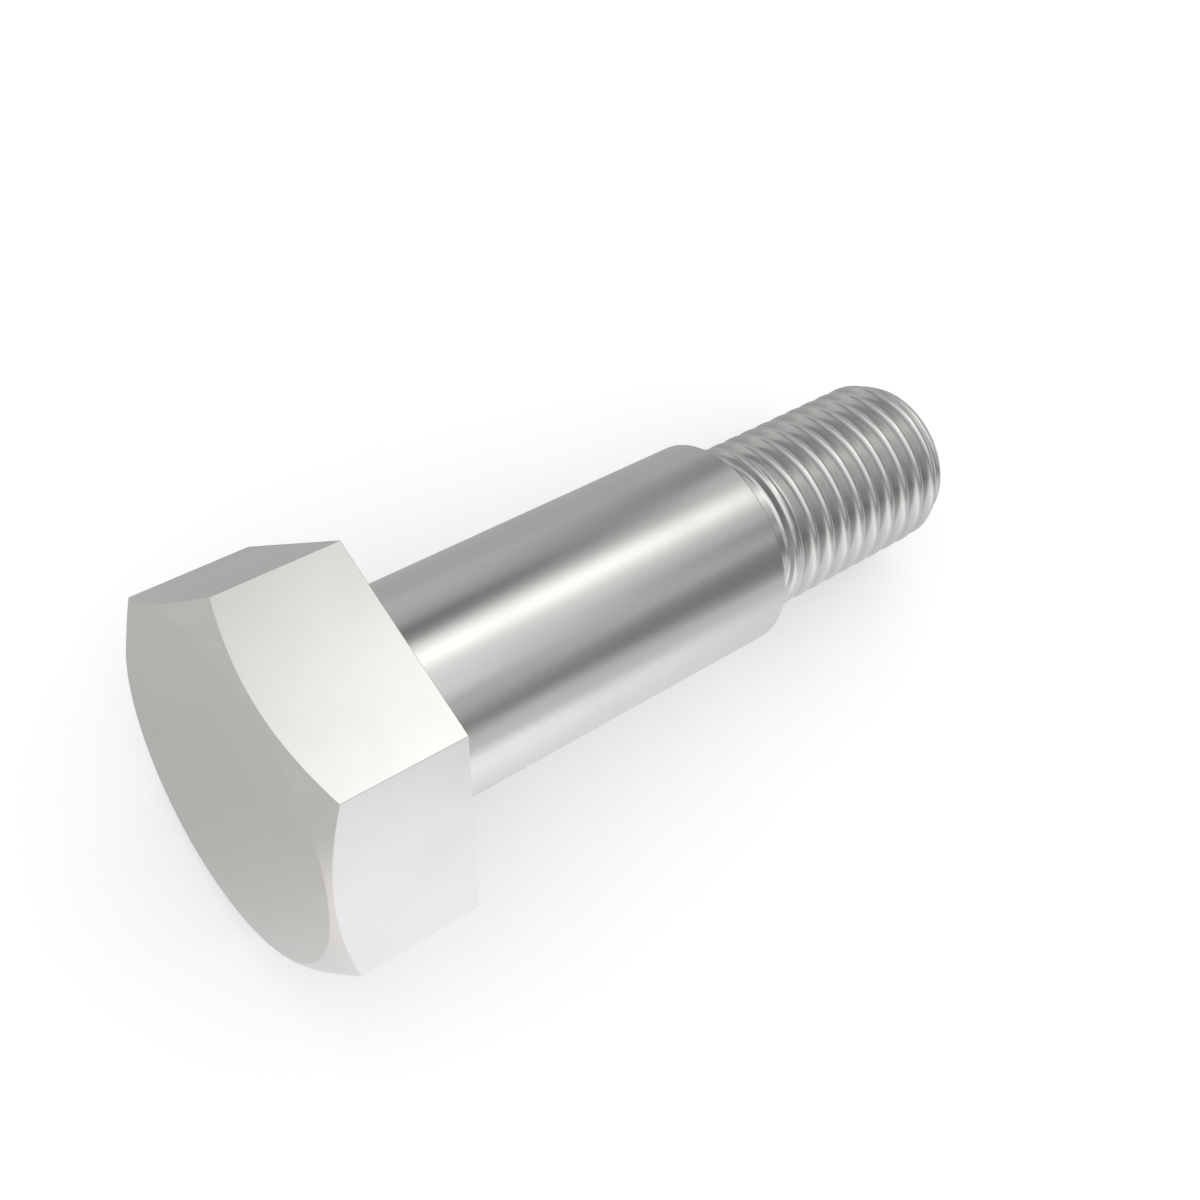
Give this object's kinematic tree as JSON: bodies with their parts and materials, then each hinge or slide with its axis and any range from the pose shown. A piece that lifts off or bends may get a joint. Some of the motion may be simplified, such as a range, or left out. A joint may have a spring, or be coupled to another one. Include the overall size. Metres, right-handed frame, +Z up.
{
  "type": "shoulder bolt",
  "caption": "Hexagon head shoulder bolt of bright steel: plain smooth shoulder, short neck and a thinner fine right-hand thread with a chamfered point.",
  "frame": {"origin": "where the bolt's axis meets the bearing face under the head", "axes": "+Z up with the bolt lying at rest, +X along the bolt from the head to the point, its axis dipping 6.96 degrees to the point"},
  "size_m": [0.0475, 0.0218, 0.0197],
  "materials": {
    "steel": "satin turned steel, plain, uncoated"
  },
  "bodies": {
    "root": {"shoulder_bolt": "steel"}
  },
  "joints": []
}
